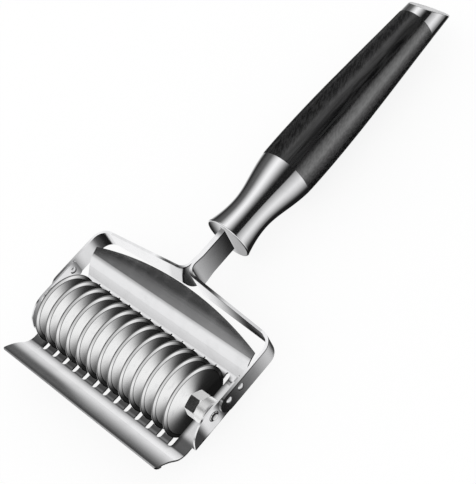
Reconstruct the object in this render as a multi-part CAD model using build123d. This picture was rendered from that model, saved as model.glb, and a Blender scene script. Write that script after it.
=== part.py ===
from build123d import *
import math
import os

# Hand noodle cutter: a roller of thirteen disc blades turns in a bent sheet guard,
# and a forked strip yoke carries the guard on a ferrule, a tapered grip and an end cap.
# All sizes are in millimetres.
# The pieces are modelled about the roller's axis, with +X along the roller, +Y towards
# the grip and +Z up, and are moved to the object's own origin when they are written.

# Roller
blade_count = 13
blade_pitch = 6.6
blade_radius = 16.5
blade_thickness = 1.0
blade_bevel = 1.8
blade_edge = 0.25
spacer_radius = 5.5
nut_across_flats = 10.0
nut_length = 5.2
nut_chamfer = 0.5
nut_turn = 22.0
collar_radius = 5.7
collar_length = 4.7
collar_chamfer = 0.4
axle_radius = 3.0
journal_radius = 2.0
journal_proud = 0.8
journal_chamfer = 0.5
running_gap = 0.3
bore_clearance = 0.05

# Guard, a sheet bent across its width and folded up at both ends
sheet = 0.8
floor_drop = 7.4
guard_end_inset = 2.2
slot_width = 2.2
slot_front = 18.9
slot_rear = 18.8
floor_front = 19.9
floor_rear = 18.0
floor_bend_radius = 4.0
lip_rise_radius = 7.0
lip_slope = 56.0
lip_curl_y = 25.2
lip_curl_radius = 23.0
lip_tip_slope = 33.0
lip_tip_y = 29.6
lip_corner_radius = 1.5
hem_length = 2.8
wing_rise_slope = 53.0
wing_knee_y = 23.9
wing_slope = 22.5
wing_bend_radius = 10.2
wing_ease_y = 31.5
wing_ease_radius = 60.0
wing_end_slope = 19.5
wing_corner_y = 29.6
wing_crown_y = 36.3
ear_fold_radius = 1.6
ear_front_y = 14.0
ear_front_radius = 12.4
ear_fold_rear_y = 15.6
ear_rear_y = 18.6
ear_relief_height = 3.0
ear_corner_radius = 1.5

# Yoke, two strips on edge that meet back to back in the tang
strip = 1.2
arm_half_width = 4.7
arm_end_y = 3.4
crossbar_half_width = 7.8
crossbar_y = 40.6
shoulder_y = 36.9
shoulder_radius = 5.8
fork_radius = 5.6
tang_half_width = 7.0
tang_taper_length = 5.0
tang_seat = 21.0

# Rivets that hold each arm to its ear
rivet_radius = 1.0
rivet_head_radius = 1.7
rivet_head_height = 0.8
rivet_first_y = 8.5
rivet_second_y = 15.5
rivet_above_axle = 0.8

# Handle, turned about the Y axis
ferrule_face_y = 65.1
ferrule_face_radius = 11.5
ferrule_waist_y = 81.3
ferrule_waist_radius = 9.3
ferrule_length = 38.9
ferrule_face_round = 0.6
ferrule_face_taper = 0.28
ferrule_rear_flare = 0.1
grip_front_radius = 13.1
grip_belly_radius = 13.3
grip_belly_offset = 9.0
grip_length = 94.7
grip_rear_radius = 9.8
grip_front_flare = 0.05
grip_rear_taper = 0.05
cap_length = 19.2
cap_tip_radius = 8.9
cap_cut_angle = 39.0
cap_edge_round = 0.6
slot_half_height = 8.0
slot_clearance = 0.1
tie_rod_radius = 3.0
tie_rod_seat = 11.0
tie_rod_cap_seat = 4.4
tie_rod_end_gap = 0.3

# Places that follow from the sizes above
roller_end_x = blade_pitch * (blade_count - 1) / 2 + blade_thickness / 2
collar_outer_x = roller_end_x + nut_length + collar_length
ear_inner_x = collar_outer_x + running_gap
ear_outer_x = ear_inner_x + sheet
guard_half_width = ear_inner_x - guard_end_inset
arm_outer_x = ear_outer_x + strip
grip_front_y = ferrule_face_y + ferrule_length
grip_rear_y = grip_front_y + grip_length
cap_tip_y = grip_rear_y + cap_length


def slope_height(run, degrees):
    """Height gained over a horizontal run at a slope."""
    return run * math.tan(math.radians(degrees))


def bent_strip(corners, radii, thickness):
    """Face of a bent strip: one side rounds the corners, the other lies to its left.

    radii holds the bend radius of that first side at each inner corner.
    """
    points = [Vector(*corner) for corner in corners]
    runs = [(b - a).normalized() for a, b in zip(points, points[1:])]
    lefts = [Vector(-run.Y, run.X) for run in runs]
    other = [points[0] + lefts[0] * thickness]
    other_radii = []
    for index, radius in enumerate(radii):
        before, after = lefts[index], lefts[index + 1]
        mitre = (before + after) * (thickness / (1 + before.dot(after)))
        other.append(points[index + 1] + mitre)
        turns_left = runs[index].cross(runs[index + 1]).Z > 0
        other_radii.append(radius - thickness if turns_left else radius + thickness)
    other.append(points[-1] + lefts[-1] * thickness)
    near = FilletPolyline(*points, radius=radii)
    far = FilletPolyline(*other, radius=other_radii)
    ends = [Line(points[0], other[0]), Line(points[-1], other[-1])]
    return make_face([*near.edges(), *far.edges(), *ends])


def turned_on_x(points):
    """Solid of revolution about the X axis from (x, radius) points."""
    profile = make_face(Polyline(*points, close=True))
    return revolve(profile, axis=Axis.X)


def cylinder_on_x(radius, start, end):
    """Plain cylinder along X between two places."""
    return turned_on_x([(start, 0), (end, 0), (end, radius), (start, radius)])


def at_rivets(shape):
    """The shape repeated at the two rivet places of the right-hand arm."""
    return [Pos(0, y, rivet_above_axle) * shape for y in (rivet_first_y, rivet_second_y)]


def mirrored_pair(shape):
    """The shape and its mirror image on the other side of the roller's middle."""
    return [shape, mirror(shape, about=Plane.YZ)]


def blade():
    """Disc with a bevel ground on both sides of its rim."""
    half = blade_thickness / 2
    edge = blade_edge / 2
    bore = axle_radius + bore_clearance
    bevel_start = blade_radius - blade_bevel
    return turned_on_x([
        (-half, bore), (half, bore), (half, bevel_start),
        (edge, blade_radius), (-edge, blade_radius), (-half, bevel_start),
    ])


def spacer():
    """Tube that fills the axle between two blades."""
    half = (blade_pitch - blade_thickness) / 2
    bore = axle_radius + bore_clearance
    return turned_on_x([(-half, bore), (half, bore), (half, spacer_radius), (-half, spacer_radius)])


def hex_nut():
    """Hexagon nut against the outer face of the last blade, with chamfered corners."""
    start = roller_end_x
    end = start + nut_length
    hexagon = RegularPolygon(nut_across_flats / 2, 6, major_radius=False, rotation=nut_turn)
    body = Pos(start, 0, 0) * extrude(Plane.YZ * hexagon, amount=nut_length)
    corner_radius = nut_across_flats / 2 / math.cos(math.pi / 6)
    trimmed = turned_on_x([
        (start, 0), (end, 0), (end, corner_radius - nut_chamfer),
        (end - nut_chamfer / 2, corner_radius), (start + nut_chamfer / 2, corner_radius),
        (start, corner_radius - nut_chamfer),
    ])
    bore = cylinder_on_x(axle_radius + bore_clearance, start, end)
    return (body & trimmed) - bore


def collar():
    """Round bush between the nut and the ear."""
    start = collar_outer_x - collar_length
    bore = axle_radius + bore_clearance
    rim = collar_radius - collar_chamfer
    return turned_on_x([
        (start, bore), (collar_outer_x, bore), (collar_outer_x, rim),
        (collar_outer_x - collar_chamfer, collar_radius), (start + collar_chamfer, collar_radius),
        (start, rim),
    ])


def axle():
    """Shaft through the whole roller, stepped down to a journal at each ear."""
    tip = ear_outer_x + journal_proud
    neck = journal_radius - journal_chamfer
    return turned_on_x([
        (-tip, 0), (tip, 0), (tip, neck), (tip - journal_chamfer, journal_radius),
        (collar_outer_x, journal_radius), (collar_outer_x, axle_radius),
        (-collar_outer_x, axle_radius), (-collar_outer_x, journal_radius),
        (-tip + journal_chamfer, journal_radius), (-tip, neck),
    ])


def guard_section():
    """Cross-section of the guard in the YZ plane, from the wing to the lip."""
    knee = (wing_knee_y, -floor_drop + slope_height(wing_knee_y - floor_rear, wing_rise_slope))
    ease = (wing_ease_y, knee[1] + slope_height(wing_ease_y - wing_knee_y, wing_slope))
    crown = (wing_crown_y, ease[1] + slope_height(wing_crown_y - wing_ease_y, wing_end_slope))
    curl = (-lip_curl_y, -floor_drop + slope_height(lip_curl_y - floor_front, lip_slope))
    tip = (-lip_tip_y, curl[1] + slope_height(lip_tip_y - lip_curl_y, lip_tip_slope))
    corners = [crown, ease, knee, (floor_rear, -floor_drop), (-floor_front, -floor_drop), curl, tip]
    radii = [
        wing_ease_radius + sheet, wing_bend_radius + sheet, floor_bend_radius,
        lip_rise_radius, lip_curl_radius + sheet,
    ]
    web = bent_strip(corners, radii, sheet)
    edge = Vector(*tip)
    inward = (Vector(*curl) - edge).normalized()
    below = Vector(inward.Y, -inward.X)
    hem_start = edge + inward * hem_length
    double = below * 2 * sheet
    single = below * sheet
    hem = make_face(Polyline(edge + single, hem_start + single, hem_start + double, edge + double, close=True))
    rolled_edge = Pos(edge + single) * Circle(sheet)
    return web + hem + rolled_edge


def guard_outline():
    """Plan outline of the guard, with rounded lip corners and the wing's arched edge."""
    front_y = -lip_tip_y - sheet
    left = (-guard_half_width, wing_corner_y)
    right = (guard_half_width, wing_corner_y)
    sides = FilletPolyline(
        left, (-guard_half_width, front_y), (guard_half_width, front_y), right,
        radius=lip_corner_radius,
    )
    arch = ThreePointArc(right, (0, wing_crown_y), left)
    return make_face([*sides.edges(), arch])


def ear():
    """Right-hand end of the guard: floor, fold and upright plate."""
    inner_start = guard_half_width - ear_fold_radius
    section = bent_strip(
        [(ear_inner_x, arm_half_width), (ear_inner_x, -floor_drop), (inner_start, -floor_drop)],
        [ear_fold_radius], sheet,
    )
    span = ear_rear_y + ear_front_y
    folded = extrude(Plane.XZ * section, amount=span / 2, both=True)
    folded = Pos(0, ear_rear_y - span / 2, 0) * folded
    base = -floor_drop - sheet
    relief_top = -floor_drop + ear_relief_height
    arc_start = (-ear_front_y + ear_front_radius, arm_half_width)
    arc_end = (-ear_front_y, arm_half_width - ear_front_radius)
    front = RadiusArc(arc_start, arc_end, -ear_front_radius)
    back = FilletPolyline(
        (ear_fold_rear_y, relief_top), (ear_rear_y, relief_top),
        (ear_rear_y, arm_half_width), arc_start, radius=ear_corner_radius,
    )
    foot = Polyline(arc_end, (-ear_front_y, base), (ear_fold_rear_y, base), (ear_fold_rear_y, relief_top))
    outline = make_face([*back.edges(), front, *foot.edges()])
    plate = folded & (Pos(inner_start, 0, 0) * extrude(Plane.YZ * outline, amount=ear_outer_x - inner_start))
    bearing = cylinder_on_x(journal_radius + bore_clearance, ear_inner_x, ear_outer_x)
    pin = cylinder_on_x(rivet_radius + bore_clearance, ear_inner_x, ear_outer_x)
    return plate - [bearing, *at_rivets(pin)]


def guard():
    """Slotted floor, curled lip, arched wing and two ears in one bent sheet."""
    section = Plane.YZ * guard_section()
    web = extrude(section, amount=guard_half_width, both=True)
    reach = lip_tip_y + wing_crown_y
    web = web & extrude(guard_outline(), amount=reach, both=True)
    slot_length = slot_front + slot_rear
    slot_shape = Pos(0, slot_rear - slot_length / 2, 0) * SlotOverall(slot_length, slot_width, rotation=90)
    slot_tool = extrude(slot_shape, amount=reach, both=True)
    slots = [Pos(x, 0, 0) * slot_tool for x in blade_places()]
    return (web - slots) + mirrored_pair(ear())


def blade_places():
    """X of each blade's middle, from the left end to the right."""
    middle = (blade_count - 1) / 2
    return [(index - middle) * blade_pitch for index in range(blade_count)]


def yoke_strip():
    """Right-hand strip: half of the tang, half of the crossbar and one arm."""
    tang_end_y = ferrule_face_y + tang_seat
    corners = [
        (0, tang_end_y), (0, crossbar_y), (ear_outer_x, shoulder_y), (ear_outer_x, arm_end_y),
    ]
    plan = bent_strip(corners, [fork_radius, shoulder_radius], strip)
    body = extrude(plan, amount=crossbar_half_width, both=True)
    front_view = Plane.XZ * make_face(Polyline(
        (0, crossbar_half_width), (fork_radius, crossbar_half_width),
        (ear_outer_x - shoulder_radius, arm_half_width), (arm_outer_x, arm_half_width),
        (arm_outer_x, -arm_half_width), (ear_outer_x - shoulder_radius, -arm_half_width),
        (fork_radius, -crossbar_half_width), (0, -crossbar_half_width), close=True,
    ))
    body = body & extrude(front_view, amount=-tang_end_y)
    taper_end_y = crossbar_y + fork_radius + tang_taper_length
    round_y = arm_end_y + arm_half_width
    sides = Polyline(
        (round_y, arm_half_width), (round_y, crossbar_half_width),
        (crossbar_y + fork_radius, crossbar_half_width), (taper_end_y, tang_half_width),
        (tang_end_y, tang_half_width), (tang_end_y, -tang_half_width),
        (taper_end_y, -tang_half_width), (crossbar_y + fork_radius, -crossbar_half_width),
        (round_y, -crossbar_half_width), (round_y, -arm_half_width),
    )
    end_round = ThreePointArc((round_y, -arm_half_width), (arm_end_y, 0), (round_y, arm_half_width))
    side_view = Plane.YZ * make_face([*sides.edges(), end_round])
    body = body & extrude(side_view, amount=arm_outer_x)
    pin = cylinder_on_x(rivet_radius + bore_clearance, ear_outer_x, arm_outer_x)
    return body - at_rivets(pin)


def rivet():
    """Rivet through one ear and arm, with a domed head on each side."""
    dome_radius = (rivet_head_radius**2 + rivet_head_height**2) / (2 * rivet_head_height)
    outer_top = (arm_outer_x + rivet_head_height, 0)
    inner_top = (ear_inner_x - rivet_head_height, 0)
    outer_dome = RadiusArc((arm_outer_x, rivet_head_radius), outer_top, dome_radius)
    inner_dome = RadiusArc(inner_top, (ear_inner_x, rivet_head_radius), dome_radius)
    shank = Polyline(
        (ear_inner_x, rivet_head_radius), (ear_inner_x, rivet_radius),
        (arm_outer_x, rivet_radius), (arm_outer_x, rivet_head_radius),
    )
    middle = Line(outer_top, inner_top)
    profile = make_face([outer_dome, middle, inner_dome, *shank.edges()])
    return revolve(profile, axis=Axis.X)


def rivets():
    """The four rivets, two in each arm."""
    return [copy for placed in at_rivets(rivet()) for copy in mirrored_pair(placed)]


def turned_on_y(edges):
    """Solid of revolution about the Y axis from a closed run of (radius, y) edges."""
    return revolve(make_face(edges), axis=Axis.Y)


def tie_rod_bore(start, end):
    """Cutter for the tie rod's hole between two places along Y."""
    radius = tie_rod_radius + bore_clearance
    corners = Polyline((0, start), (radius, start), (radius, end), (0, end), close=True)
    return turned_on_y(corners.edges())


def ferrule():
    """Waisted metal ferrule, slotted for the tang and bored for the tie rod."""
    flank = Spline(
        (ferrule_face_radius, ferrule_face_y),
        (ferrule_waist_radius, ferrule_waist_y),
        (grip_front_radius, grip_front_y),
        tangents=[(-ferrule_face_taper, 1), (ferrule_rear_flare, 1)],
    )
    ends = Polyline(
        (grip_front_radius, grip_front_y), (0, grip_front_y),
        (0, ferrule_face_y), (ferrule_face_radius, ferrule_face_y),
    )
    body = turned_on_y([flank, *ends.edges()])
    body = fillet(body.edges().sort_by(Axis.Y)[0], ferrule_face_round)
    depth = tang_seat + tie_rod_end_gap
    slot = Box(2 * (strip + slot_clearance), depth, 2 * slot_half_height)
    slot = Pos(0, ferrule_face_y + depth / 2, 0) * slot
    return body - slot - tie_rod_bore(grip_front_y - tie_rod_seat, grip_front_y)


def grip():
    """Tapered grip, fullest just behind the ferrule."""
    belly_y = grip_front_y + grip_belly_offset
    flank = Spline(
        (grip_front_radius, grip_front_y), (grip_belly_radius, belly_y), (grip_rear_radius, grip_rear_y),
        tangents=[(grip_front_flare, 1), (-grip_rear_taper, 1)],
    )
    ends = Polyline(
        (grip_rear_radius, grip_rear_y), (0, grip_rear_y), (0, grip_front_y), (grip_front_radius, grip_front_y),
    )
    return turned_on_y([flank, *ends.edges()]) - tie_rod_bore(grip_front_y, grip_rear_y)


def end_cap():
    """Metal cap with its end cut at a slant, longest underneath."""
    corners = Polyline(
        (0, grip_rear_y), (grip_rear_radius, grip_rear_y), (cap_tip_radius, cap_tip_y), (0, cap_tip_y), close=True,
    )
    body = turned_on_y(corners.edges())
    tip = Location((0, cap_tip_y, -cap_tip_radius), (cap_cut_angle, 0, 0))
    reach = cap_length + 2 * grip_rear_radius
    beyond = tip * Pos(0, reach / 2, 0) * Box(reach, reach, 2 * reach)
    body = body - beyond
    body = fillet(body.faces().sort_by(Axis.Y)[-1].edges(), cap_edge_round)
    return body - tie_rod_bore(grip_rear_y, grip_rear_y + tie_rod_cap_seat)


def tie_rod():
    """Rod inside the grip that joins the ferrule to the cap."""
    start = grip_front_y - tie_rod_seat + tie_rod_end_gap
    end = grip_rear_y + tie_rod_cap_seat - tie_rod_end_gap
    corners = Polyline((0, start), (tie_rod_radius, start), (tie_rod_radius, end), (0, end), close=True)
    return turned_on_y(corners.edges())


def build_nodes():
    """Every piece by name, each as a list of its solids."""
    right_strip, left_strip = mirrored_pair(yoke_strip())
    right_collar, left_collar = mirrored_pair(collar())
    nodes = {
        "guard": [guard()],
        "yoke_strip_right": [right_strip],
        "yoke_strip_left": [left_strip],
        "arm_rivets": rivets(),
        "ferrule": [ferrule()],
        "grip": [grip()],
        "end_cap": [end_cap()],
        "tie_rod": [tie_rod()],
        "roller_axle": [axle()],
        "hex_nuts": mirrored_pair(hex_nut()),
        "collar_right": [right_collar],
        "collar_left": [left_collar],
    }
    places = blade_places()
    for number, x in enumerate(places, start=1):
        nodes[f"blade_{number:02d}"] = [Pos(x, 0, 0) * blade()]
    for number, (x, next_x) in enumerate(zip(places, places[1:]), start=1):
        nodes[f"spacer_{number:02d}"] = [Pos((x + next_x) / 2, 0, 0) * spacer()]
    return nodes


def base_shift(nodes):
    """Move that puts the origin at the middle of the object's footprint, at its lowest level."""
    boxes = [shape.bounding_box() for shapes in nodes.values() for shape in shapes]
    front = min(box.min.Y for box in boxes)
    rear = max(box.max.Y for box in boxes)
    bottom = min(box.min.Z for box in boxes)
    return Pos(0, -(front + rear) / 2, -bottom)


nodes = build_nodes()
shift = base_shift(nodes)
os.makedirs("parts", exist_ok=True)
for name, shapes in nodes.items():
    solids = [solid for shape in shapes for solid in (shift * shape).solids()]
    export_step(Compound(children=solids), f"parts/{name}.step")
print("roller axis at", [round(value, 4) for value in shift.position])
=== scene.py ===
import logging
import math
from collections.abc import Mapping, Sequence
from dataclasses import dataclass, field
from enum import Enum

import bmesh
import bpy
from mathutils import Matrix, Vector


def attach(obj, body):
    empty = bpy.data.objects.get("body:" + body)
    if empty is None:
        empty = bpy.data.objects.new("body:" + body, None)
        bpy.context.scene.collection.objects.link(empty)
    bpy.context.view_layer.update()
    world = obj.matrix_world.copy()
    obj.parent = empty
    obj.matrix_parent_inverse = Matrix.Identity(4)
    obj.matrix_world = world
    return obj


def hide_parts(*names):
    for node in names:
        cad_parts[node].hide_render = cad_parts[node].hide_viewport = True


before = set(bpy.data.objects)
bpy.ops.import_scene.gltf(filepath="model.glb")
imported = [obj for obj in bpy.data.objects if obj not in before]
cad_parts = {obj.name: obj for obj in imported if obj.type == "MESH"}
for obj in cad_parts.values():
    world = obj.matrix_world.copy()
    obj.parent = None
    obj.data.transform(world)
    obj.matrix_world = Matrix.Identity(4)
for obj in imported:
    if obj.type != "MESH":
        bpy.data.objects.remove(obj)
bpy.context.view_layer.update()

# Noodle cutter: the looks of a hand roller with thirteen disc blades in a bent sheet guard.
# Sizes are in millimetres in the classes and become metres where a mesh or a shader needs them.
# Shaders place their points about the roller's axis, which lies at AXIS_Y and AXIS_Z.

Span = tuple[float, float]
Triple = tuple[float, float, float]
Colour = tuple[float, float, float, float]

MM = 0.001
PER_MM = 1000.0
FULL_TURN = 360.0
AXIS_Y = -93.4438
AXIS_Z = 16.5
GROUND_MARK = "ground"
MIX_SHARE, MIX_FIRST, MIX_SECOND, MIX_RESULT = 0, 6, 7, 2
RANDOM_RESULT = 1
# Near-black mixed into the steel colours: mostly painted shade at edges, creases and under the roller, and
# a few plain darker marks.
SHADE_AND_MARK_DARK: Colour = (0.05, 0.05, 0.05, 1.0)
WHITE: Colour = (1.0, 1.0, 1.0, 1.0)

logging.basicConfig(level=logging.INFO, format="%(levelname)s %(message)s")
log = logging.getLogger("noodle_cutter")


class Body(Enum):
    """The two bodies that pieces ride on."""

    FRAME = "frame"
    ROLLER = "roller"


class SlotName(Enum):
    """The record's material slots."""

    POLISHED = "polished_steel"
    BLADE = "blade_steel"
    FITTING = "fitting_steel"
    GRIP = "grip_plastic"


class Layout(Enum):
    """How a repeated piece is laid out."""

    ROW = "row"
    GRID = "grid"


class Signal:
    """One output socket of a node tree that works in Python expressions."""

    def __init__(self, graph: "Graph", socket: bpy.types.NodeSocket) -> None:
        """Keeps the socket with the graph that it belongs to."""
        self.graph = graph
        self.socket = socket

    def _math(self, operation: str, *values: "Signal | float") -> "Signal":
        """Adds a Math node on the given values."""
        return self.graph.node("ShaderNodeMath", {"operation": operation}, dict(enumerate(values)))

    def __add__(self, other: "Signal | float") -> "Signal":
        """Sum."""
        return self._math("ADD", self, other)

    def __radd__(self, other: "Signal | float") -> "Signal":
        """Sum with the number first."""
        return self._math("ADD", other, self)

    def __sub__(self, other: "Signal | float") -> "Signal":
        """Difference."""
        return self._math("SUBTRACT", self, other)

    def __rsub__(self, other: "Signal | float") -> "Signal":
        """Difference with the number first."""
        return self._math("SUBTRACT", other, self)

    def __mul__(self, other: "Signal | float") -> "Signal":
        """Product."""
        return self._math("MULTIPLY", self, other)

    def __rmul__(self, other: "Signal | float") -> "Signal":
        """Product with the number first."""
        return self._math("MULTIPLY", other, self)

    def __lt__(self, other: "Signal | float") -> "Signal":
        """One where the value is below the other."""
        return self._math("LESS_THAN", self, other)

    def __abs__(self) -> "Signal":
        """Size without its sign."""
        return self._math("ABSOLUTE", self)

    def largest(self, other: "Signal | float") -> "Signal":
        """The larger of two values."""
        return self._math("MAXIMUM", self, other)


@dataclass(frozen=True)
class Step:
    """Smooth step from nothing at low to a height at high, which may lie below low."""

    low: float
    high: float
    height: float = 1.0

    def over(self, along: Signal) -> Signal:
        """The step's value along a direction.

        Args:
            along: how far along the direction a point lies.

        Returns:
            The value, between nothing and the height.
        """
        near, far = sorted((self.low, self.high))
        inputs = {"Value": along, "From Min": near, "From Max": far}
        step = along.graph.node("ShaderNodeMapRange", {"interpolation_type": "SMOOTHSTEP"}, inputs)
        if self.high < self.low:
            step = 1.0 - step
        return step if self.height == 1.0 else step * self.height


@dataclass(frozen=True)
class Swell:
    """Smooth rise to a height and, farther on, a smooth fall back to nothing."""

    rise: Span
    fall: Span
    height: float = 1.0

    def over(self, along: Signal) -> Signal:
        """The swell's value along a direction."""
        near, far = self.fall
        return Step(*self.rise).over(along) * Step(far, near, self.height).over(along)


@dataclass(frozen=True)
class Run:
    """Straight run from start at low to end at high, level beyond both."""

    low: float
    high: float
    start: float
    end: float

    def over(self, along: Signal) -> Signal:
        """The run's value along a direction."""
        ends = {"From Min": self.low, "From Max": self.high, "To Min": self.start, "To Max": self.end}
        return along.graph.node("ShaderNodeMapRange", {"clamp": True}, {"Value": along} | ends)


Shape = Step | Swell | Run


@dataclass(frozen=True)
class Pattern:
    """Noise: its scale, and the number and strength of its finer layers."""

    scale: float
    detail: float = 2.0
    roughness: float = 0.5


class Graph:
    """A node tree that is written as expressions."""

    def __init__(self, tree: bpy.types.NodeTree) -> None:
        """Clears the tree and keeps it."""
        self.tree = tree
        tree.nodes.clear()

    def node(
        self,
        kind: str,
        settings: Mapping[str, object] | None = None,
        inputs: Mapping[str | int, object] | None = None,
        output: str | int = 0,
    ) -> Signal:
        """Adds any node, sets its settings first and then its sockets.

        Args:
            kind: the node's type, such as ShaderNodeMath.
            settings: its properties.
            inputs: values or signals by socket name or number.
            output: name or number of the output that is wanted.

        Returns:
            The wanted output.
        """
        made = self.tree.nodes.new(kind)
        for name, value in (settings or {}).items():
            setattr(made, name, value)
        for key, value in (inputs or {}).items():
            socket = made.inputs[key]
            if isinstance(value, Signal):
                self.tree.links.new(value.socket, socket)
            else:
                socket.default_value = value
        return Signal(self, made.outputs[output])

    def finish(self, kind: str, surface: Signal) -> None:
        """Ends the tree in an output node of the given kind."""
        made = self.tree.nodes.new(kind)
        self.tree.links.new(surface.socket, made.inputs["Surface"])

    def vector(self, x: Signal | float, y: Signal | float, z: Signal | float) -> Signal:
        """A vector from three numbers."""
        return self.node("ShaderNodeCombineXYZ", None, {"X": x, "Y": y, "Z": z})

    def parts(self, vector: Signal) -> tuple[Signal, Signal, Signal]:
        """The three numbers of a vector."""
        made = self.node("ShaderNodeSeparateXYZ", None, {"Vector": vector}).socket.node
        return tuple(Signal(self, made.outputs[name]) for name in ("X", "Y", "Z"))

    def arrow(self, operation: str, first: Signal | Sequence[float], second: object = None) -> Signal:
        """A Vector Math node that gives a vector.

        Args:
            operation: what it does, such as ADD, SCALE or NORMALIZE.
            first: the first vector.
            second: the second vector, or the number to scale by.

        Returns:
            The resulting vector.
        """
        inputs: dict[str | int, object] = {0: first}
        if operation == "SCALE":
            inputs["Scale"] = second
        elif second is not None:
            inputs[1] = second
        return self.node("ShaderNodeVectorMath", {"operation": operation}, inputs)

    def arrow_length(self, vector: Signal) -> Signal:
        """Length of a vector."""
        return self.node("ShaderNodeVectorMath", {"operation": "LENGTH"}, {0: vector}, "Value")

    def noise(self, place: Signal, pattern: Pattern) -> Signal:
        """Noise between 0 and 1 at a place.

        Args:
            place: where the noise is read.
            pattern: its scale and its layers.

        Returns:
            The noise.
        """
        inputs = {
            "Vector": place,
            "Scale": pattern.scale,
            "Detail": pattern.detail,
            "Roughness": pattern.roughness,
        }
        return self.node("ShaderNodeTexNoise", None, inputs, "Fac")

    def mix_colour(self, share: Signal | float, first: object, second: object) -> Signal:
        """Colour between two colours."""
        inputs = {MIX_SHARE: share, MIX_FIRST: first, MIX_SECOND: second}
        return self.node("ShaderNodeMix", {"data_type": "RGBA"}, inputs, MIX_RESULT)

    def bump(self, height: Signal, depth: float, normal: Signal | None = None) -> Signal:
        """Normal of a surface raised by a height.

        Args:
            height: the height, from 0 to 1.
            depth: metres that a height of 1 stands for.
            normal: the normal to start from, if it isn't the mesh's own.

        Returns:
            The new normal.
        """
        inputs: dict[str | int, object] = {"Height": height, "Distance": depth, "Strength": 1.0}
        if normal is not None:
            inputs["Normal"] = normal
        return self.node("ShaderNodeBump", None, inputs)


class Place:
    """Where a shaded point lies, in millimetres about the roller's axis, and how it faces.

    Its side is how far it lies from the middle plane, and its reach how far from the axis. The parts
    of its unit normal are facing (to the right), along (towards the grip) and upward.
    """

    def __init__(self, graph: Graph) -> None:
        """Adds the nodes that give the place.

        Args:
            graph: the material's node tree.
        """
        self.graph = graph
        made = graph.node("ShaderNodeTexCoord", None, None, "Object")
        moved = graph.arrow("SUBTRACT", made, (0.0, AXIS_Y * MM, AXIS_Z * MM))
        self.point = graph.arrow("SCALE", moved, PER_MM)
        self.x, self.y, self.z = graph.parts(self.point)
        self.side = abs(self.x)
        self.radial = graph.vector(0.0, self.y, self.z)
        self.reach = graph.arrow_length(self.radial)
        self.normal = Signal(graph, made.socket.node.outputs["Normal"])
        self.facing, self.along, self.upward = graph.parts(self.normal)

    def stretched(self, x: float, y: float, z: float) -> Signal:
        """The place with each direction scaled, for a pattern with a grain."""
        return self.graph.arrow("MULTIPLY", self.point, (x, y, z))

    def lean(self, offset: Signal) -> Signal:
        """Normal for shading, leaned by an offset in the piece's own directions.

        Args:
            offset: the vector that is added to the unit normal.

        Returns:
            The leaned normal in world directions.
        """
        leaned = self.graph.arrow("NORMALIZE", self.graph.arrow("ADD", self.normal, offset))
        settings = {"vector_type": "NORMAL", "convert_from": "OBJECT", "convert_to": "WORLD"}
        return self.graph.node("ShaderNodeVectorTransform", settings, {"Vector": leaned})


@dataclass(frozen=True)
class Patch:
    """Part of a surface: the product of shapes over the measures of a place that it names."""

    x: Shape | None = None
    y: Shape | None = None
    z: Shape | None = None
    side: Shape | None = None
    reach: Shape | None = None
    facing: Shape | None = None
    along: Shape | None = None
    upward: Shape | None = None

    def over(self, place: Place) -> Signal:
        """The patch's value at a place.

        Args:
            place: the shaded point.

        Returns:
            The product of the shapes that are given.
        """
        given = {measure: shape for measure, shape in vars(self).items() if shape is not None}
        return math.prod(shape.over(getattr(place, measure)) for measure, shape in given.items())


@dataclass(frozen=True)
class Finish:
    """Base of the finishes: makes a material once and dresses pieces in it."""

    name: str

    def shade(self, place: Place) -> dict[str | int, object]:
        """Values and signals for the surface shader, by socket name."""
        raise NotImplementedError

    def material(self) -> bpy.types.Material:
        """Builds the material, or returns the one made before.

        Returns:
            The material of this finish.
        """
        known = bpy.data.materials.get(self.name)
        if known is not None:
            return known
        made = bpy.data.materials.new(self.name)
        made.use_nodes = True
        graph = Graph(made.node_tree)
        surface = graph.node("ShaderNodeBsdfPrincipled", None, self.shade(Place(graph)))
        graph.finish("ShaderNodeOutputMaterial", surface)
        return made


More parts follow.
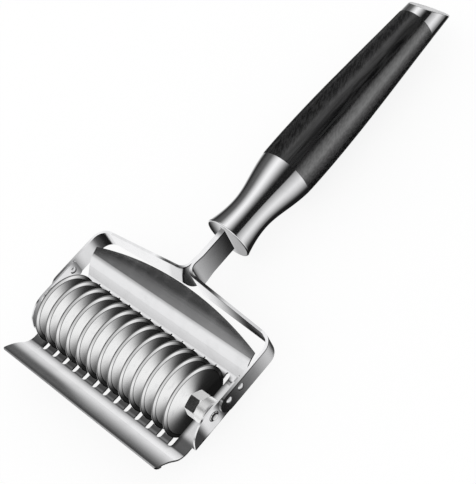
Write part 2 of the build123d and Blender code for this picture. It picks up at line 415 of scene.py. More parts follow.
@dataclass(frozen=True)
class Polished(Finish):
    """Polished stainless sheet with a faint grain, handling marks and hairline scratches."""

    tint: Colour = (0.85, 0.85, 0.86, 1.0)
    roughness: float = 0.13
    grain: Triple = (0.04, 1.6, 1.6)
    grain_noise: Pattern = Pattern(2.2, 3.0, 0.6)
    grain_depth: float = 0.0012
    grain_rough: float = 0.035
    handled_noise: Pattern = Pattern(0.23)
    handled_rough: Step = Step(0.4, 0.8, 0.03)
    hair: Triple = (0.5, 0.07, 0.9)
    hair_noise: Pattern = Pattern(3.1, 4.0, 0.7)
    hair_mark: Step = Step(0.66, 0.72)
    hair_rough: float = 0.05
    hair_depth: float = 0.4
    film_noise: Pattern = Pattern(0.11, 3.0, 0.6)
    film: Step = Step(0.45, 0.75)
    film_dulls: float = 0.93
    # Patches where the dark colour is mixed in; most of them are painted shade.
    dark_patches: tuple[Patch, ...] = ()
    darkening_strength: float = 0.85

    def offset(self, place: Place) -> Signal | None:
        """Lean of the normal, or None for a surface that is shaded as it is built."""
        return None

    def dulled(self, place: Place) -> Signal | float:
        """Extra roughness where the steel was worked."""
        return 0.0

    def dark_share(self, place: Place) -> Signal | float:
        """Share of the dark colour, where shade is painted on and at a few darker marks.

        Args:
            place: the shaded point.

        Returns:
            The share of the strongest dark patch.
        """
        share: Signal | float = 0.0
        for stain in self.dark_patches:
            share = stain.over(place).largest(share)
        return share

    def film_and_shade_tint(self, place: Place) -> Signal:
        """Colour of the steel with a thin uneven film, darkened where shade is painted on.

        Args:
            place: the shaded point.

        Returns:
            The colour.
        """
        graph = place.graph
        film = self.film.over(graph.noise(place.point, self.film_noise))
        dull = tuple(channel * self.film_dulls for channel in self.tint[:3]) + (1.0,)
        steel = graph.mix_colour(film, self.tint, dull)
        return graph.mix_colour(self.dark_share(place) * self.darkening_strength, steel, SHADE_AND_MARK_DARK)

    def shade(self, place: Place) -> dict[str | int, object]:
        """Steel with grain in its height and its roughness.

        Args:
            place: the shaded point.

        Returns:
            Values and signals for the surface shader, by socket name.
        """
        graph = place.graph
        grain = graph.noise(place.stretched(*self.grain), self.grain_noise)
        handled = self.handled_rough.over(graph.noise(place.point, self.handled_noise))
        hair = self.hair_mark.over(graph.noise(place.stretched(*self.hair), self.hair_noise))
        rough = self.roughness + self.grain_rough * grain + handled + self.hair_rough * hair
        offset = self.offset(place)
        leaned = None if offset is None else place.lean(offset)
        return {
            "Base Color": self.film_and_shade_tint(place),
            "Metallic": 1.0,
            "Roughness": rough + self.dulled(place),
            "Normal": graph.bump(grain - self.hair_depth * hair, self.grain_depth * MM, leaned),
        }


@dataclass(frozen=True)
class GuardSheet(Polished):
    """Polished guard sheet, slightly pulled out of true, with shade painted on its floor under the blades,
    along its hem and round the axle.
    """

    ear: Step = Step(0.85, 0.95)
    right_half: Step = Step(-1.0, 1.0)
    ear_dent: Patch = Patch(y=Swell((-9.0, -3.5), (-0.5, 4.5), 0.5))
    ear_bow: Run = Run(-14.0, 10.0, -0.06, 0.42)
    ear_bow_end: Step = Step(19.0, 12.0)
    lip_foot: Patch = Patch(y=Swell((-23.0, -20.5), (-19.4, -17.8), 0.35))
    lip_tip: Patch = Patch(y=Step(-24.0, -26.5), x=Step(5.0, -20.0, -0.12))
    wing_root: Patch = Patch(y=Swell((14.0, 15.0), (17.6, 19.8), -0.25))
    wing_bend: Patch = Patch(y=Swell((20.0, 22.0), (22.0, 24.5), 0.04))
    wing_shade: Patch = Patch(y=Swell((27.5, 29.5), (31.0, 33.5), 0.005))
    wing_ends: Patch = Patch(y=Step(24.0, 27.0, 0.03), side=Step(6.0, 38.0))
    wing_rim: Step = Step(5.0, 0.5)
    wing_crown: float = 36.3
    wing_arch: float = 0.00279
    floor_corner: Patch = Patch(y=Swell((-22.5, -18.5), (-15.0, -10.5), -0.3), side=Step(40.0, 41.5))
    dark_patches: tuple[Patch, ...] = (
        # Painted shade: the floor under the blades, darkened where the roller would shade it and be
        # mirrored in it.
        Patch(y=Swell((-19.8, -17.0), (17.2, 18.7), 1.1), z=Step(-4.2, -5.6), side=Step(43.0, 40.5)),
        # Painted shade: a dark ring round the axle on the right ear.
        Patch(reach=Step(2.6, 2.35, 1.15), facing=Step(0.85, 0.95), x=Step(0.0, 1.0)),
        # Painted shade: a darker band near the lip's hem, on its upper side.
        Patch(y=Swell((-30.25, -29.95), (-29.5, -28.0), 0.6), upward=Step(0.2, 0.5)),
    )

    def offset(self, place: Place) -> Signal:
        """Dent of the outer ear, bow of the inner one, and slight leans of the lip, floor and wing.

        Args:
            place: the shaded point.

        Returns:
            The vector that leans the normal.
        """
        ear = self.ear.over(place.facing)
        right = self.right_half.over(place.x)
        bow = self.ear_bow.over(place.y) * self.ear_bow_end.over(place.y)
        on_ear = right * self.ear_dent.over(place) + (1.0 - right) * bow
        inside = self.wing_crown - self.wing_arch * place.x * place.x - place.y
        rim = self.wing_ends.over(place) * self.wing_rim.over(inside)
        leans = (self.lip_foot, self.lip_tip, self.wing_root, self.wing_bend, self.wing_shade)
        rise = rim + sum(patch.over(place) for patch in leans)
        flat = 1.0 - ear
        return place.graph.vector(self.floor_corner.over(place) * flat, rise * flat, ear * on_ear)


@dataclass(frozen=True)
class StripSteel(Polished):
    """Polished strip that carries the faint twist of its bending along both arms and the tang."""

    right_half: Step = Step(-1.0, 1.0)
    top: Step = Step(0.8, 0.95)
    past_bar: Step = Step(40.0, 44.0)
    arm_twist: tuple[Patch, ...] = (
        Patch(x=Step(-1.0, 1.0), y=Run(3.0, 24.0, -0.1, 0.14), side=Step(44.0, 48.0)),
        Patch(x=Step(-1.0, 1.0), y=Run(24.0, 34.0, 0.0, 0.2), side=Step(44.0, 48.0)),
        Patch(x=Step(1.0, -1.0), y=Swell((14.5, 24.0), (27.0, 33.0), 0.4), side=Step(44.0, 48.0)),
        Patch(x=Step(1.0, -1.0, -0.09), side=Step(44.0, 48.0)),
    )
    tang_twist: Run = Run(42.0, 66.0, 0.24, -0.12)
    bar_near: Run = Run(3.0, 10.0, 0.05, 0.26)
    bar_far: Run = Run(10.0, 36.0, 0.0, 0.21)
    bar_from: Step = Step(35.0, 38.0)
    corner_side: Step = Step(-36.0, -43.0)
    corner_fold: Swell = Swell((0.2, 0.55), (0.62, 0.82), 0.36)
    corner_lean: float = 0.1
    top_arm: Run = Run(6.0, 26.0, -0.25, 0.15)
    top_corner: Step = Step(30.0, 35.0, 0.05)
    top_fork: Swell = Swell((-21.0, -10.0), (8.0, 27.0), 0.5)
    fork_slant: float = 0.4
    fork_near: Run = Run(-20.0, -11.0, 0.0, 0.28)
    fork_bend: Step = Step(-5.2, -3.4, 1.1)
    fork_span: Swell = Swell((-20.0, -18.0), (-0.6, -0.3))
    fork_turn: Step = Step(0.5, 0.8)
    bend_rough: Step = Step(0.04, 0.3, 0.05)
    half_width: Run = Run(5.6, 45.5, 7.8, 4.7)
    tang_taper: Run = Run(46.2, 51.2, 0.0, 0.8)
    # Painted shade line just under the upper edges.
    edge_shade_line: Step = Step(-0.95, -0.6)
    edge_side: Step = Step(-8.0, -2.0)
    edge_least: float = 0.75
    edge_more: Step = Step(48.0, 36.0, 0.25)
    dark_patches: tuple[Patch, ...] = (
        # Painted shade on the lower half of the crossbar's front by its right corner.
        Patch(x=Step(28.0, 42.0), z=Step(2.5, -2.0), along=Step(-0.7, -0.9)),
        # Darker on the arms' front ends.
        Patch(y=Step(10.0, 8.0), along=Step(-0.3, -0.6)),
        # Painted shadow of the ferrule on the tang's top.
        Patch(y=Step(60.5, 64.0, 0.9), upward=Step(0.8, 0.95)),
    )

    def bow(self, place: Place) -> Signal:
        """Sideways lean along the crossbar and round its left corner.

        Args:
            place: the shaded point.

        Returns:
            The lean.
        """
        along_bar = self.bar_near.over(place.x) + self.bar_far.over(place.x)
        along_bar = along_bar * self.right_half.over(place.x)
        fold = self.corner_fold.over(place.facing)
        at_corner = self.corner_side.over(place.x) * (self.corner_lean - fold)
        return (along_bar + at_corner) * self.bar_from.over(place.y)

    def offset(self, place: Place) -> Signal:
        """Twist along the arms and the tang, bow of the crossbar and the bend at the fork.

        Args:
            place: the shaded point.

        Returns:
            The vector that leans the normal.
        """
        past_bar = self.past_bar.over(place.y)
        top = self.top.over(place.upward)
        crown = self.top_arm.over(place.y) + self.top_corner.over(place.y)
        fork = self.top_fork.over(place.x) * (1.0 - past_bar)
        bow = self.bow(place) * (1.0 - past_bar)
        across = bow * (1.0 - top) + (crown + fork) * top
        slant = place.x - self.fork_slant * place.z
        wrung = self.fork_near.over(slant) + self.fork_bend.over(slant)
        at_fork = self.fork_span.over(place.x) * self.fork_turn.over(place.facing - place.along)
        at_fork = at_fork * (1.0 - top) * (1.0 - past_bar)
        across = across + (wrung - place.facing) * at_fork
        twist = sum(patch.over(place) for patch in self.arm_twist) * (1.0 - past_bar)
        twist = twist + self.tang_twist.over(place.y) * past_bar
        return place.graph.vector(across, (-1.0 - place.along) * at_fork, twist)

    def dulled(self, place: Place) -> Signal:
        """Bends are duller, since bending raises the grain."""
        return self.bend_rough.over(abs(place.facing * place.along))

    def dark_share(self, place: Place) -> Signal:
        """Painted shade in the crossbar's right corner, a painted ferrule shadow on the tang and a painted
        shade line along the upper edges; also darker arm ends.

        Args:
            place: the shaded point.

        Returns:
            The share of the dark colour.
        """
        # Painted shade: a dark line just under the upper edges, on the sides of the strips.
        above = place.z - (self.half_width.over(place.side) - self.tang_taper.over(place.y))
        line = self.edge_shade_line.over(above) * (1.0 - self.top.over(place.upward))
        line = line * self.edge_side.over(place.x) * (self.edge_least + self.edge_more.over(place.x))
        return line.largest(super().dark_share(place))


@dataclass(frozen=True)
class DiscFace(Finish):
    """Turned face of a disc blade: it shades like a shallow cone, with fine circular marks."""

    cone: float = 0.54
    turn: float = 19.5
    spread: float = 0.35
    droop: Run = Run(-39.6, 39.6, -0.14, -0.07)
    roughness: float = 0.13
    tint: Colour = (0.97, 0.97, 0.97, 1.0)
    stained_tint: Colour = (0.86, 0.86, 0.87, 1.0)
    ring_noise: Pattern = Pattern(5.0, 3.0, 0.7)
    ring_drift: float = 0.05
    ring_rough: float = 0.06
    ring_base: float = 0.9
    ring_lean: float = 0.2
    stain_noise: Pattern = Pattern(0.35, 3.0, 0.6)
    stain: Step = Step(0.5, 0.8)
    stain_rough: float = 0.04
    # Painted shade: a dark line at the crease between face and bevel, and one along the rim.
    shoulder_shade_line: Swell = Swell((14.45, 14.65), (14.8, 15.05), 0.85)
    rim_shade_line: Step = Step(15.95, 16.25, 0.8)

    def shade(self, place: Place) -> dict[str | int, object]:
        """Steel whose normal leans outwards from the roller's axis.

        Args:
            place: the shaded point.

        Returns:
            Values and signals for the surface shader, by socket name.
        """
        graph = place.graph
        outward = graph.arrow("NORMALIZE", place.radial)
        inputs = {"Vector": outward, "Angle": math.radians(-self.turn)}
        swung = graph.node("ShaderNodeVectorRotate", {"rotation_type": "X_AXIS"}, inputs)
        rings = graph.noise(graph.vector(place.reach, place.x * self.ring_drift, 0.0), self.ring_noise)
        stain = graph.noise(place.point, self.stain_noise)
        _, _, upward = graph.parts(swung)
        gathered = self.spread + (1.0 - self.spread) * upward * upward
        amount = self.cone * gathered * (self.ring_base + self.ring_lean * rings)
        droop = graph.vector(0.0, 0.0, self.droop.over(place.x))
        lean = graph.arrow("ADD", graph.arrow("SCALE", swung, amount), droop)
        tint = graph.mix_colour(self.stain.over(stain), self.tint, self.stained_tint)
        # Painted shade lines at the bevel's crease and along the rim.
        dark = self.shoulder_shade_line.over(place.reach).largest(self.rim_shade_line.over(place.reach))
        return {
            "Base Color": graph.mix_colour(dark, tint, SHADE_AND_MARK_DARK),
            "Metallic": 1.0,
            "Roughness": self.roughness + self.ring_rough * rings + self.stain_rough * stain,
            "Normal": place.lean(lean),
        }


@dataclass(frozen=True)
class MachinedSteel(Polished):
    """Machined fitting steel with turning marks around the roller's axis."""

    tint: Colour = (0.95, 0.95, 0.95, 1.0)
    roughness: float = 0.17
    grain: Triple = (2.4, 0.2, 0.2)
    end_facing: Step = Step(0.9, 0.98)
    end_reach: Step = Step(3.2, 3.0)
    end_lean: float = 0.3
    end_slope: float = 0.1
    # Painted shade: a dark ring round the axle's end, beyond the ear.
    dark_patches: tuple[Patch, ...] = (Patch(side=Step(51.3, 51.4, 1.15), reach=Step(1.25, 1.5)),)

    def offset(self, place: Place) -> Signal:
        """Slant of the axle's end, none on the larger pieces around it."""
        end = self.end_facing.over(abs(place.facing)) * self.end_reach.over(place.reach)
        return place.graph.vector(0.0, 0.0, end * (self.end_lean - self.end_slope * place.z))


@dataclass(frozen=True)
class NutSteel(MachinedSteel):
    """Machined steel of the nuts, whose flats lean towards the blades."""

    flat_facing: Step = Step(0.5, 0.3)
    flat_lean: Run = Run(-1.0, 1.0, 0.3, -0.3)

    def offset(self, place: Place) -> Signal:
        """Lean of the flats, none on the end faces."""
        flat = self.flat_facing.over(abs(place.facing))
        return place.graph.vector(flat * self.flat_lean.over(place.x), 0.0, 0.0)


@dataclass(frozen=True)
class TurnedSteel(Polished):
    """Polished steel of the ferrule and the cap, with a slightly dished front face and a ground cut."""

    front: Step = Step(-0.9, -0.97)
    front_left: Run = Run(-11.0, -1.0, 0.47, 0.27)
    front_right: Run = Run(0.0, 3.0, 0.0, 0.03)
    cut: Patch = Patch(along=Step(0.55, 0.7), side=Run(1.0, 8.0, 0.17, 0.5))
    cut_rough: Step = Step(0.55, 0.7, 0.34)

    def offset(self, place: Place) -> Signal:
        """Sideways lean of the front face and upward lean of the cut; the flanks keep their shape."""
        sideways = self.front_left.over(place.x) + self.front_right.over(place.x)
        return place.graph.vector(self.front.over(place.along) * sideways, 0.0, self.cut.over(place))

    def dulled(self, place: Place) -> Signal:
        """The cap's slanted cut is ground, and duller than its flank."""
        return self.cut_rough.over(place.along)


@dataclass(frozen=True)
class GripPlastic(Finish):
    """Satin black plastic with fine lines along its length and a rubbed sheen."""

    tint: Colour = (0.001, 0.001, 0.0011, 1.0)
    rubbed_tint: Colour = (0.004, 0.004, 0.0045, 1.0)
    weave_tint: Colour = (0.019, 0.019, 0.0195, 1.0)
    roughness: float = 0.22
    ior: float = 1.6
    sheen_ior: float = 2.2
    grain_depth: float = 0.03
    lines: Triple = (1.0, 0.03, 1.0)
    line_noise: Pattern = Pattern(1.1, 2.0, 0.6)
    line_rough: float = 0.05
    stroke_slant: float = 0.55
    stroke_stretch: float = 0.25
    stroke_noise: Pattern = Pattern(1.3, 1.0, 0.5)
    middle_facing: Swell = Swell((0.12, 0.3), (0.6, 0.8))
    weave: Step = Step(0.4, 0.6)
    rubbed: Triple = (1.0, 0.4, 1.0)
    rubbed_noise: Pattern = Pattern(0.12)
    rubbed_mark: Step = Step(0.35, 0.7)
    rubbed_smooth: float = 0.03
    flank_facing: Step = Step(0.62, 0.8)
    flank_least: float = 0.3
    flank_more: Step = Step(0.99, 0.9, 0.7)
    sheen_least: float = 0.84
    sheen_weave: float = 0.16
    fold_left: Step = Step(-0.4, -0.65, 0.4)
    fold_right: Step = Step(0.25, 0.08, 0.14)

    def shade(self, place: Place) -> dict[str | int, object]:
        """Black plastic, a little duller where it is held.

        Args:
            place: the shaded point.

        Returns:
            Values and signals for the surface shader, by socket name.
        """
        graph = place.graph
        lines = graph.noise(place.stretched(*self.lines), self.line_noise)
        slant = graph.vector(place.x + self.stroke_slant * place.y, place.y * self.stroke_stretch, place.z)
        strokes = graph.noise(slant, self.stroke_noise)
        across = place.facing
        steep = abs(across)
        flank = self.flank_facing.over(steep) * (self.flank_least + self.flank_more.over(steep))
        middle = self.middle_facing.over(across)
        grain = lines * middle + strokes * (1.0 - middle)
        weave = self.weave.over(grain)
        rubbed = self.rubbed_mark.over(graph.noise(place.stretched(*self.rubbed), self.rubbed_noise))
        fold = graph.vector(self.fold_left.over(across) - self.fold_right.over(across), 0.0, 0.0)
        tint = graph.mix_colour(rubbed, self.tint, self.rubbed_tint)
        return {
            "Base Color": graph.mix_colour(weave, tint, self.weave_tint),
            "Metallic": 0.0,
            "IOR": self.ior,
            "Coat Weight": flank * (self.sheen_least + self.sheen_weave * weave),
            "Coat IOR": self.sheen_ior,
            "Coat Roughness": self.roughness,
            "Roughness": self.roughness + self.line_rough * lines - self.rubbed_smooth * rubbed,
            "Normal": graph.bump(grain, self.grain_depth * MM, place.lean(fold)),
        }


def turned_mesh(
    name: str, profile: Sequence[Span], segments: int, marked: Sequence[int] = ()
) -> bpy.types.Mesh:
    """Closed mesh of a profile turned about the X axis.

    Args:
        name: name of the mesh.
        profile: closed run of (place along the axis, radius) in millimetres.
        segments: faces around the axis.
        marked: numbers of the profile's sides whose faces carry the ground mark.

    Returns:
        The mesh, with outward normals and its middle at the origin.
    """
    work = bmesh.new()
    ground = work.faces.layers.int.new(GROUND_MARK)
    rings: list[list[bmesh.types.BMVert]] = []
    for along, radius in profile:
        ring = []
        for step in range(segments if radius > 0 else 1):
            angle = math.tau * step / segments
            spot = Vector((along, radius * math.cos(angle), radius * math.sin(angle)))
            ring.append(work.verts.new(spot * MM))
        rings.append(ring)
    for side, (near, far) in enumerate(zip(rings, rings[1:] + rings[:1])):
        if len(near) == 1 and len(far) == 1:
            continue
        for step in range(segments):
            after = (step + 1) % segments
            around = ((near, step), (far, step), (far, after), (near, after))
            corners = dict.fromkeys(verts[number % len(verts)] for verts, number in around)
            work.faces.new(tuple(corners))[ground] = int(side in marked)
    bmesh.ops.recalc_face_normals(work, faces=work.faces)
    mesh = bpy.data.meshes.new(name)
    work.to_mesh(mesh)
    work.free()
    return mesh


def placed(name: str, data: bpy.types.ID) -> bpy.types.Object:
    """Puts a new object into the scene.

    Args:
        name: its name.
        data: its mesh or camera.

    Returns:
        The object, at the origin.
    """
    made = bpy.data.objects.new(name, data)
    bpy.context.scene.collection.objects.link(made)
    return made


@dataclass
class Repeat:
    """Copies of one mesh, laid out with Geometry Nodes and made one plain mesh."""

    name: str
    layout: Layout
    finish: Finish
    count: tuple[int, int]
    step: Triple
    start: Triple
    ground_finish: Finish | None = None
    seed: int = 7

    def tree(self) -> bpy.types.NodeTree:
        """Builds the layout tree with its named inputs.

        Returns:
            The Geometry Nodes tree.
        """
        tree = bpy.data.node_groups.new(f"{self.name}_layout", "GeometryNodeTree")
        given_sockets = {
            "Piece": "NodeSocketGeometry",
            "Count": "NodeSocketInt",
            "Rows": "NodeSocketInt",
            "Step": "NodeSocketVector",
            "Start": "NodeSocketVector",
            "Seed": "NodeSocketInt",
        }
        for name, kind in given_sockets.items():
            tree.interface.new_socket(name, in_out="INPUT", socket_type=kind)
        tree.interface.new_socket("Pieces", in_out="OUTPUT", socket_type="NodeSocketGeometry")
        graph = Graph(tree)
        given = graph.node("NodeGroupInput").socket.node
        wanted = {name: Signal(graph, given.outputs[name]) for name in given_sockets}
        spots = {"Points": self.points(graph, wanted), "Instance": wanted["Piece"]}
        copies = graph.node("GeometryNodeInstanceOnPoints", None, spots)
        seed = {"Seed": wanted["Seed"]}
        batch = graph.node("FunctionNodeRandomValue", {"data_type": "FLOAT"}, seed, RANDOM_RESULT)
        tagged = graph.node(
            "GeometryNodeStoreNamedAttribute", {"data_type": "FLOAT", "domain": "INSTANCE"},
            {"Geometry": copies, "Name": "batch", "Value": batch},
        )
        solid = graph.node("GeometryNodeRealizeInstances", None, {"Geometry": tagged})
        worn = {"Geometry": solid, "Material": self.finish.material()}
        dressed = graph.node("GeometryNodeSetMaterial", None, worn)
        if self.ground_finish is not None:
            mark = {"Name": GROUND_MARK}
            chosen = graph.node("GeometryNodeInputNamedAttribute", {"data_type": "INT"}, mark)
            worn = {"Geometry": dressed, "Selection": chosen, "Material": self.ground_finish.material()}
            dressed = graph.node("GeometryNodeSetMaterial", None, worn)
        end = tree.nodes.new("NodeGroupOutput")
        tree.links.new(dressed.socket, end.inputs["Pieces"])
        return tree

    def points(self, graph: Graph, wanted: Mapping[str, Signal]) -> Signal:
        """Points for the copies: a row from the start, or a grid with the start in its middle.

        Args:
            graph: the layout tree.
            wanted: the tree's inputs by name; a grid's step is the size of the whole grid.

        Returns:
            The points.
        """
        start, step, count = wanted["Start"], wanted["Step"], wanted["Count"]
        if self.layout is Layout.ROW:
            inputs = {"Count": count, "Start Location": start, "Offset": step}
            return graph.node("GeometryNodeMeshLine", {"mode": "OFFSET"}, inputs)
        across, along, _ = graph.parts(step)
        inputs = {"Size X": across, "Size Y": along, "Vertices X": count, "Vertices Y": wanted["Rows"]}
        flat = graph.node("GeometryNodeMeshGrid", None, inputs)
        return graph.node("GeometryNodeTransform", None, {"Geometry": flat, "Translation": start})

    def build(self, mesh: bpy.types.Mesh, sharp: float) -> bpy.types.Object:
        """Lays the copies out and turns them into one plain mesh object.

        Args:
            mesh: the mesh that is repeated.
            sharp: angle in degrees above which an edge stays sharp.

        Returns:
            The finished object, at the origin.
        """
        carrier = placed(f"{self.name}_carrier", mesh)
        modifier = carrier.modifiers.new("Layout", "NODES")
        tree = self.tree()
        modifier.node_group = tree
        values = {
            "Count": self.count[0],
            "Rows": self.count[1],
            "Step": [value * MM for value in self.step],
            "Start": [value * MM for value in self.start],
            "Seed": self.seed,
        }
        for item in tree.interface.items_tree:
            if item.in_out == "INPUT" and item.name in values:
                modifier[item.identifier] = values[item.name]
        graph = bpy.context.evaluated_depsgraph_get()
        graph.update()
        plain = bpy.data.meshes.new_from_object(carrier.evaluated_get(graph), depsgraph=graph)
        carrier.modifiers.clear()
        bpy.data.objects.remove(carrier)
        plain.name = self.name
        plain.shade_smooth()
        plain.set_sharp_from_angle(angle=math.radians(sharp))
        return placed(self.name, plain)


def dress(names: Sequence[str], finish: Finish) -> None:
    """Gives CAD nodes a finish through their material slots, and keeps them out of reflections.

    Args:
        names: the nodes.
        finish: what they are dressed in.
    """
    for name in names:
        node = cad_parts[name]
        node.visible_glossy = False
        for entry in node.material_slots:
            entry.material = finish.material()
        log.info("dressed %s in %s", name, finish.name)


def add_piece(made: bpy.types.Object, body: Body, nodes: Sequence[str]) -> None:
    """Puts a made piece on its body in place of CAD nodes.

    Args:
        made: the finished object.
        body: the body that it rides on.
        nodes: the CAD nodes that it replaces.
    """
    made.visible_glossy = False
    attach(made, body.value)
    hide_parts(*nodes)
    log.info("built %s with %d faces for %s", made.name, len(made.data.polygons), ", ".join(nodes))


@dataclass
class Roller:
    """Thirteen disc blades with spacers between them, clamped on the axle by two nuts."""

    blade_count: int = 13
    pitch: float = 6.6
    radius: float = 16.5
    thickness: float = 1.0
    edge: float = 0.25
    bevel: float = 1.8
    bore: float = 3.05
    blade_segments: int = 160
    blade_sharp: float = 8.0
    ground_sides: tuple[int, ...] = (2, 3, 4)
    spacer_radius: float = 5.5
    spacer_round: float = 0.25
    spacer_segments: int = 64
    spacer_sharp: float = 30.0
    face: Finish = field(default_factory=lambda: DiscFace("disc_face"))
    ground: Finish = field(default_factory=lambda: DiscFace(
        "ground_bevel", cone=0.45, turn=0.0, spread=1.0, droop=Run(-1.0, 1.0, 0.0, 0.0),
        roughness=0.12, tint=(0.92, 0.92, 0.92, 1.0),
    ))
    fitting: Finish = field(default_factory=lambda: MachinedSteel("machined_steel"))
    nut: Finish = field(default_factory=lambda: NutSteel("nut_steel"))
    collar: Finish = field(default_factory=lambda: MachinedSteel("collar_steel", roughness=0.36))

    def row(self, name: str, count: int, finish: Finish, ground: Finish | None = None) -> Repeat:
        """Layout of a row of discs along the axle, a pitch apart and centred on it.

        Args:
            name: name of the piece.
            count: number of discs.
            finish: what they are dressed in.
            ground: what their ground sides are dressed in, if they have any.

        Returns:
            The layout.
        """
        start = (-self.pitch * (count - 1) / 2, AXIS_Y, AXIS_Z)
        return Repeat(name, Layout.ROW, finish, (count, 1), (self.pitch, 0.0, 0.0), start, ground)

    def profile(self, half: float, shoulder: float, flat: float, radius: float) -> list[Span]:
        """Closed outline of a bored disc whose rim narrows from a shoulder to a flat."""
        rim = [(half, shoulder), (flat, radius), (-flat, radius), (-half, shoulder)]
        return [(-half, self.bore), (half, self.bore)] + rim

    def blades(self) -> None:
        """Builds all the disc blades as one piece."""
        profile = self.profile(self.thickness / 2, self.radius - self.bevel, self.edge / 2, self.radius)
        mesh = turned_mesh("disc_blade", profile, self.blade_segments, self.ground_sides)
        row = self.row("disc_blades", self.blade_count, self.face, self.ground)
        nodes = [f"blade_{number:02d}" for number in range(1, self.blade_count + 1)]
        add_piece(row.build(mesh, self.blade_sharp), Body.ROLLER, nodes)

    def spacers(self) -> None:
        """Builds the tubes between the blades as one piece."""
        half = (self.pitch - self.thickness) / 2
        shoulder = self.spacer_radius - self.spacer_round
        profile = self.profile(half, shoulder, half - self.spacer_round, self.spacer_radius)
        mesh = turned_mesh("spacer", profile, self.spacer_segments)
        row = self.row("spacers", self.blade_count - 1, self.fitting)
        nodes = [f"spacer_{number:02d}" for number in range(1, self.blade_count)]
        add_piece(row.build(mesh, self.spacer_sharp), Body.ROLLER, nodes)

    def build(self) -> None:
        """Builds and dresses the whole roller."""
        self.blades()
        self.spacers()
        dress(["roller_axle"], self.fitting)
        dress(["collar_right", "collar_left"], self.collar)
        dress(["hex_nuts"], self.nut)


@dataclass
class Guard:
    """Bent sheet guard with its lip, wing and ears."""

    finish: Finish = field(default_factory=lambda: GuardSheet("guard_sheet", grain=(0.05, 1.2, 1.2)))

    def build(self) -> None:
        """Dresses the guard."""
        dress(["guard"], self.finish)


@dataclass
class Yoke:
    """Two polished strips and the four rivets that hold their arms to the guard's ears."""

    ear_inner: float = 50.3
    arm_outer: float = 52.3
    rivet_radius: float = 1.0
    head_radius: float = 1.7
    head_height: float = 0.8
    first_y: float = 8.5
    second_y: float = 15.5
    above_axle: float = 0.8
    dome_steps: int = 6
    rivet_segments: int = 32
    rivet_sharp: float = 40.0
    finish: Finish = field(default_factory=lambda: StripSteel("strip_steel"))
    rivet_finish: Finish = field(default_factory=lambda: Polished("rivet_steel", roughness=0.2))

    def rivet_profile(self) -> list[Span]:
        """Half outline of a rivet about its own middle, with a dome at both ends.

        Returns:
            Closed run of (place along the rivet, radius) in millimetres.
        """
        half = (self.arm_outer - self.ear_inner) / 2
        dome = (self.head_radius**2 + self.head_height**2) / (2 * self.head_height)
        outer = []
        for step in range(self.dome_steps + 1):
            radius = self.head_radius * (1 - step / self.dome_steps)
            rise = math.sqrt(dome**2 - radius**2) - (dome - self.head_height)
            outer.append((half + rise, radius))
        inner = [(-along, radius) for along, radius in reversed(outer)]
        neck = [(-half, self.rivet_radius), (half, self.rivet_radius)]
        return neck + outer + inner

    def rivets(self) -> None:
        """Builds the four rivets as one piece."""
        mesh = turned_mesh("rivet", self.rivet_profile(), self.rivet_segments)
        size = (self.ear_inner + self.arm_outer, self.second_y - self.first_y, 0.0)
        middle_y = (self.first_y + self.second_y) / 2
        start = (0.0, AXIS_Y + middle_y, AXIS_Z + self.above_axle)
        pairs = Repeat("dome_rivets", Layout.GRID, self.rivet_finish, (2, 2), size, start)
        made = pairs.build(mesh, self.rivet_sharp)
        add_piece(made, Body.FRAME, ["arm_rivets"])

    def build(self) -> None:
        """Dresses the strips and builds the rivets."""
        dress(["yoke_strip_right", "yoke_strip_left"], self.finish)
        self.rivets()


@dataclass
class Handle:
    """Waisted ferrule, black grip and slant-cut cap, with the tie rod inside."""

    metal: Finish = field(default_factory=lambda: TurnedSteel(
        "turned_steel", roughness=0.06, grain=(1.4, 0.03, 1.4),
    ))
    plastic: Finish = field(default_factory=lambda: GripPlastic("grip_black"))
    rod: Finish = field(default_factory=lambda: MachinedSteel("rod_steel"))

    def build(self) -> None:
        """Dresses the handle's pieces."""
        dress(["ferrule", "end_cap"], self.metal)
        dress(["grip"], self.plastic)
        dress(["tie_rod"], self.rod)


@dataclass(frozen=True)
class SoftBox:
    """Long light panel beside the handle, seen in reflections.

    Angles are in degrees about the Y axis, from +X towards +Z.
    """

    band: Swell
    fade: Run | None = None
    front_end: Step | None = None

    def glow(self, angle: Signal, along: Signal) -> Signal:
        """Brightness of the panel in a direction.

        Args:
            angle: direction about the Y axis in degrees.
            along: part of the direction that points towards the grip.

        Returns:
            The brightness.
        """
        glow = self.band.over(angle)
        if self.fade is not None:
            glow = glow * self.fade.over(angle)
        if self.front_end is not None:
            glow = glow * self.front_end.over(along)
        return glow


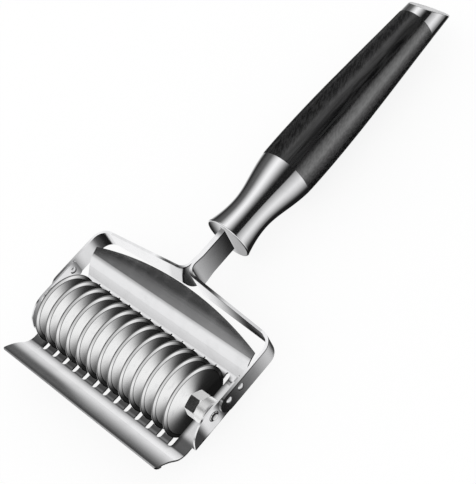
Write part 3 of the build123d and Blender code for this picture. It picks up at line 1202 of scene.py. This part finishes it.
@dataclass
class Studio:
    """White floor, soft even light and the panels that the metal mirrors."""

    even_level: float = 1.0
    dark_level: float = 0.012
    seam_angle: float = -95.0
    boxes: tuple[SoftBox, ...] = (
        SoftBox(Swell((-68.0, -4.0), (31.5, 34.5), 0.9), fade=Run(-4.0, 31.5, 1.0, 0.38)),
        SoftBox(Swell((58.0, 110.0), (104.0, 148.0), 1.06), front_end=Step(-0.32, -0.2)),
        SoftBox(Swell((110.0, 140.0), (146.0, 196.0), 0.11), front_end=Step(-0.32, -0.2)),
        SoftBox(Swell((184.0, 224.0), (240.0, 256.0))),
    )
    front_reach: Step = Step(-0.355, -0.64, 0.95)
    front_height: Step = Step(-0.45, 0.1)
    rear_reach: Step = Step(0.42, 0.68, 0.95)
    rear_height: Step = Step(0.4, -0.5)
    rear_side: Step = Step(0.1, -0.3)
    floor_size: float = 6.0
    floor_glow: float = 0.86

    def light(self) -> None:
        """Sets the world: even light, a white backdrop and the panels in reflections."""
        world = bpy.data.worlds.new("studio")
        bpy.context.scene.world = world
        world.use_nodes = True
        graph = Graph(world.node_tree)
        direction = graph.node("ShaderNodeTexCoord", None, None, "Generated")
        x, y, z = graph.parts(direction)
        turn = graph.node("ShaderNodeMath", {"operation": "ARCTAN2"}, {0: z, 1: x}) * math.degrees(1.0)
        angle = turn + FULL_TURN * (turn < self.seam_angle)
        mirrored = self.boxes[0].glow(angle, y) + self.dark_level
        for box in self.boxes[1:]:
            mirrored = mirrored + box.glow(angle, y)
        front = self.front_reach.over(y) * self.front_height.over(z)
        rear = self.rear_reach.over(y) * self.rear_height.over(z) * self.rear_side.over(x)
        mirrored = mirrored.largest(front).largest(rear)
        rays = ("Is Camera Ray", "Is Transmission Ray", "Is Glossy Ray")
        seen, glass, glossy = (graph.node("ShaderNodeLightPath", output=ray) for ray in rays)
        plain = seen.largest(glass)
        others = mirrored * glossy + self.even_level * (1.0 - glossy)
        level = plain + others * (1.0 - plain)
        surface = graph.node("ShaderNodeBackground", None, {"Color": level, "Strength": 1.0})
        graph.finish("ShaderNodeOutputWorld", surface)
        log.info("lit the studio with %d long panels, one in front and one behind", len(self.boxes))

    def floor(self) -> None:
        """Lays the pale floor, which keeps a faint shadow."""
        half = self.floor_size / 2
        mesh = bpy.data.meshes.new("floor")
        corners = [(-half, -half, 0), (half, -half, 0), (half, half, 0), (-half, half, 0)]
        mesh.from_pydata(corners, [], [(0, 1, 2, 3)])
        made = placed("floor", mesh)
        material = bpy.data.materials.new("floor_white")
        material.use_nodes = True
        graph = Graph(material.node_tree)
        seen = graph.node("ShaderNodeLightPath", output="Is Camera Ray")
        matt = graph.node("ShaderNodeBsdfDiffuse", None, {"Color": WHITE})
        glow = graph.node("ShaderNodeEmission", None, {"Color": WHITE, "Strength": 1.0})
        surface = graph.node("ShaderNodeMixShader", None, {0: seen * self.floor_glow, 1: matt, 2: glow})
        graph.finish("ShaderNodeOutputMaterial", surface)
        mesh.materials.append(material)
        made.visible_glossy = False
        log.info("laid the floor")


@dataclass
class ViewPoint:
    """The camera, placed where the object is seen from above its right-hand end."""

    place: Triple = (281.946, -157.335, 416.631)
    right: Triple = (0.715266, 0.636897, -0.287675)
    up: Triple = (-0.43168, 0.726369, 0.534827)
    back: Triple = (0.549588, -0.25836, 0.794483)
    lens: float = 88.018
    sensor: float = 36.0
    clip: Span = (0.01, 20.0)

    def build(self) -> None:
        """Makes the camera and sets it as the scene's own."""
        data = bpy.data.cameras.new("camera")
        data.lens = self.lens
        data.sensor_width = self.sensor
        data.clip_start, data.clip_end = self.clip
        made = placed("camera", data)
        turn = Matrix((self.right, self.up, self.back)).transposed()
        made.matrix_world = Matrix.Translation(Vector(self.place) * MM) @ turn.to_4x4()
        bpy.context.scene.camera = made
        log.info("set the camera")


def save_sizes() -> None:
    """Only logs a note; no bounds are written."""
    log.info("wrote the sizes")


def main() -> None:
    """Builds the object and the studio in order."""
    bpy.context.scene.view_settings.view_transform = "Standard"
    for part in (Guard(), Yoke(), Handle(), Roller()):
        part.build()
    studio = Studio()
    studio.light()
    studio.floor()
    ViewPoint().build()
    save_sizes()


if __name__ == "__main__":
    main()
